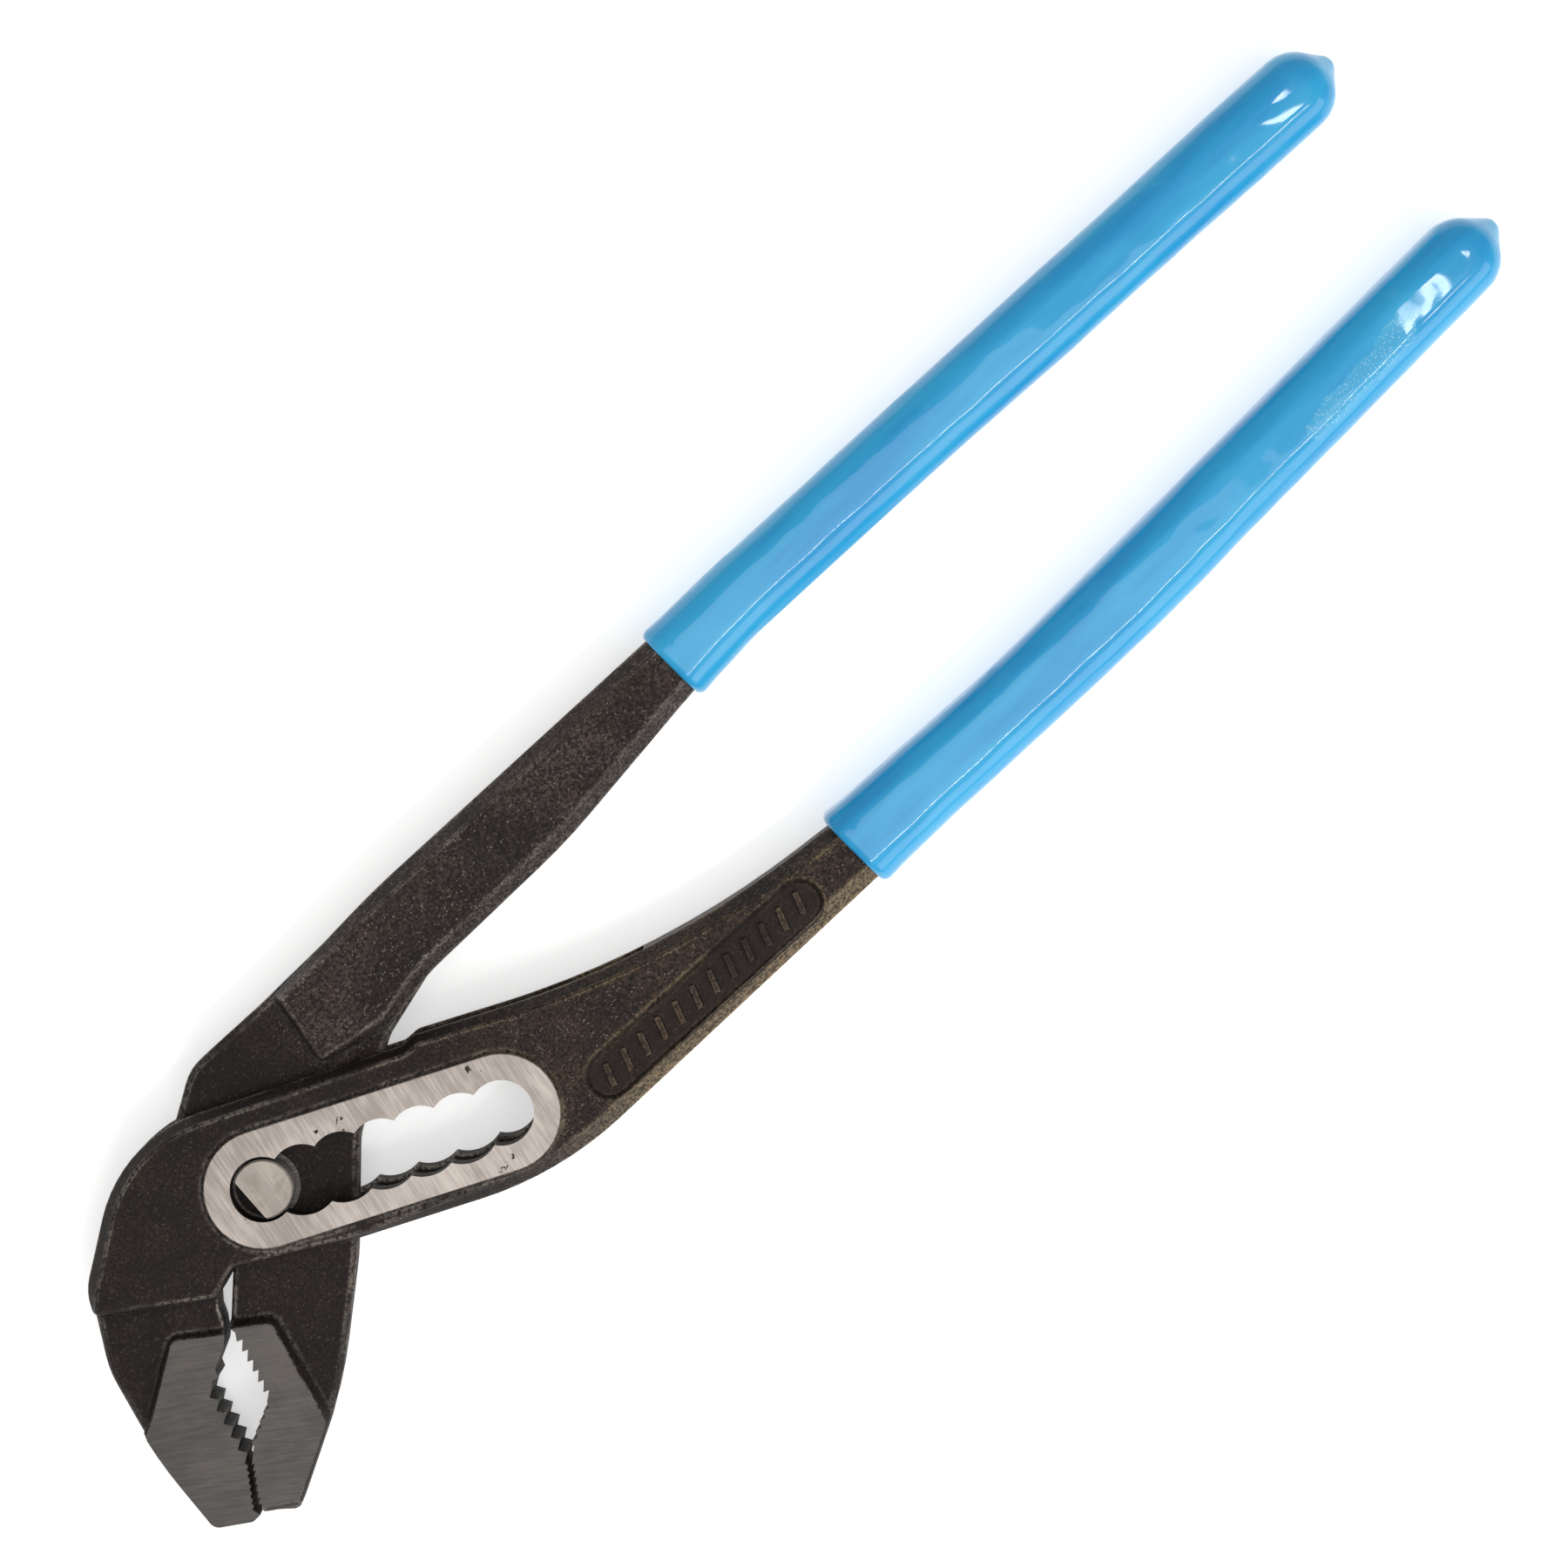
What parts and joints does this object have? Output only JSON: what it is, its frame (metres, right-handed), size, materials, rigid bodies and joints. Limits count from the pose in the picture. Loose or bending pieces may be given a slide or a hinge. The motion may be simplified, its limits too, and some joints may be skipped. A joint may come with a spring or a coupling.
{
  "type": "tongue and groove pliers",
  "caption": "Adjustable pipe pliers with offset serrated jaws, a D-shaped pin running in a notched slot, and long handles with dipped vinyl grips.",
  "frame": {"origin": "on the axis of the pivot pin, in the plane of the back face of the slot ring, on which the tool lies", "axes": "+X along the closed handles away from the jaws, +Y from the slotted lever's handle towards the inner lever's handle, +Z out of the front face along the pin"},
  "size_m": [0.2489, 0.0527, 0.0135],
  "materials": {
    "forged_steel": "dark grey scaled forging, with ground faces",
    "ground_steel": "ground flat",
    "shim_steel": "rolled sheet",
    "grip_vinyl": "dipped vinyl, glossy"
  },
  "bodies": {
    "slotted": {"slotted_lever": "forged_steel", "grip_slotted": "grip_vinyl"},
    "carriage": {"shim_front": "shim_steel", "shim_back": "shim_steel"},
    "inner": {"inner_lever": "forged_steel", "pivot_pin": "ground_steel", "grip_inner": "grip_vinyl"}
  },
  "joints": [
    {"name": "jaw_adjust_slide", "type": "slide", "parent": "slotted", "child": "carriage", "axis": [0.8894, -0.4571, 0], "range_m": [0, 0.0339]},
    {"name": "pivot_hinge", "type": "hinge", "parent": "carriage", "child": "inner", "pos_m": [0, 0, 0.00675], "axis": [0, 0, 1], "range_deg": [0, 67]}
  ]
}
